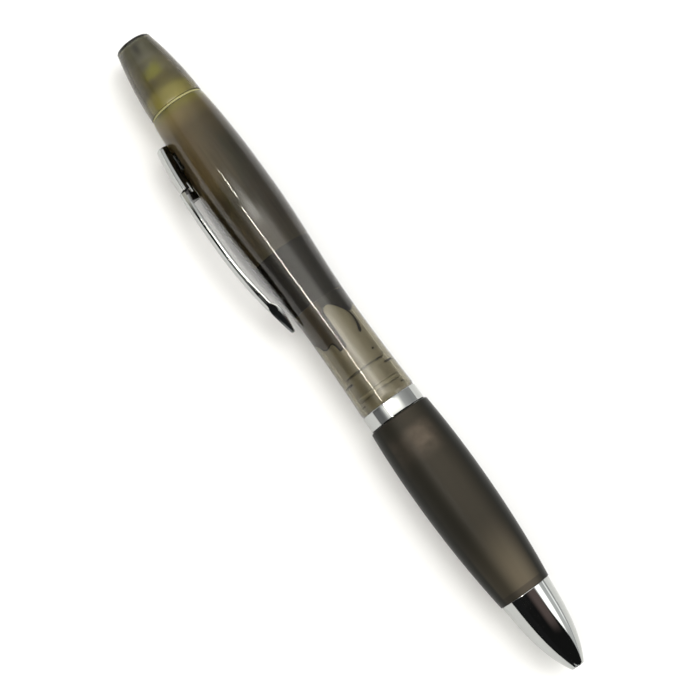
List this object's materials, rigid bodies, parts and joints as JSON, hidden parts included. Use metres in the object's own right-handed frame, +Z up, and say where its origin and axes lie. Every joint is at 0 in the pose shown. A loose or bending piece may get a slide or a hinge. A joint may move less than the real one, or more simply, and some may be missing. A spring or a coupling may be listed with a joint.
{
  "type": "ballpoint pen with highlighter",
  "caption": "Twist ballpoint pen with a waisted smoke-clear barrel, chrome clip, soft grip and nose cone, and a highlighter under the cap on its rear end.",
  "frame": {"origin": "on the surface that the pen lies on, under the middle of its length and width", "axes": "+X along the pen towards the nose cone, -Y the way the clip points, +Z up"},
  "size_m": [0.146, 0.017, 0.0138],
  "materials": {
    "smoke_plastic": "clear smoke, glossy",
    "chrome": "mirror bright",
    "frosted_rubber": "matte, slightly translucent",
    "yellow_plastic": "satin",
    "yellow_felt": "porous",
    "soaked_filler": "porous",
    "wrap_film": "film stained brown by the ink, satin",
    "dark_plastic": "satin",
    "pale_smoke_plastic": "pale smoke, satin",
    "white_plastic": "satin",
    "smoke_rubber": "matte",
    "brass": "turned",
    "steel": "bright",
    "refill_plastic": "clear",
    "ink": "wet"
  },
  "bodies": {
    "barrel": {"barrel": "smoke_plastic", "nib_holder": "yellow_plastic", "highlighter_nib": "yellow_felt", "ink_filler": "soaked_filler", "filler_wrap": "wrap_film", "chamber_plug": "dark_plastic", "mechanism_housing": "pale_smoke_plastic", "twist_cam": "white_plastic", "retaining_collar": "pale_smoke_plastic"},
    "cap": {"cap": "smoke_plastic", "cap_liner": "pale_smoke_plastic"},
    "clip": {"clip": "chrome"},
    "grip_section": {"grip": "frosted_rubber", "lower_barrel": "pale_smoke_plastic", "nose_cone": "chrome", "centre_ring": "chrome", "coupling": "pale_smoke_plastic", "guide_sleeve": "white_plastic", "friction_ring": "smoke_rubber", "return_spring": "steel"},
    "refill": {"plunger": "white_plastic", "refill_tube": "refill_plastic", "refill_ink": "ink", "tip_holder": "brass", "writing_ball": "steel"}
  },
  "joints": [
    {"name": "cap_pull", "type": "slide", "parent": "barrel", "child": "cap", "axis": [-1, 0, 0], "range_m": [0, 0.03]},
    {"name": "clip_flex", "type": "hinge", "parent": "barrel", "child": "clip", "pos_m": [-0.0522, -0.00462, 0.0069], "axis": [0, 0, -1], "range_deg": [0, 3], "stiffness_Nm_per_rad": 0.5},
    {"name": "twist", "type": "hinge", "parent": "barrel", "child": "grip_section", "pos_m": [0.01235, 0.00162, 0.0069], "axis": [1, 0, 0], "range_deg": [0, 150]},
    {"name": "refill_travel", "type": "slide", "parent": "grip_section", "child": "refill", "axis": [1, 0, 0], "range_m": [0, 0.005], "deforming": ["return_spring"]}
  ],
  "couplings": [
    {"joint": "refill_travel", "follows": "twist", "m_per_rad": 0.0019098}
  ]
}
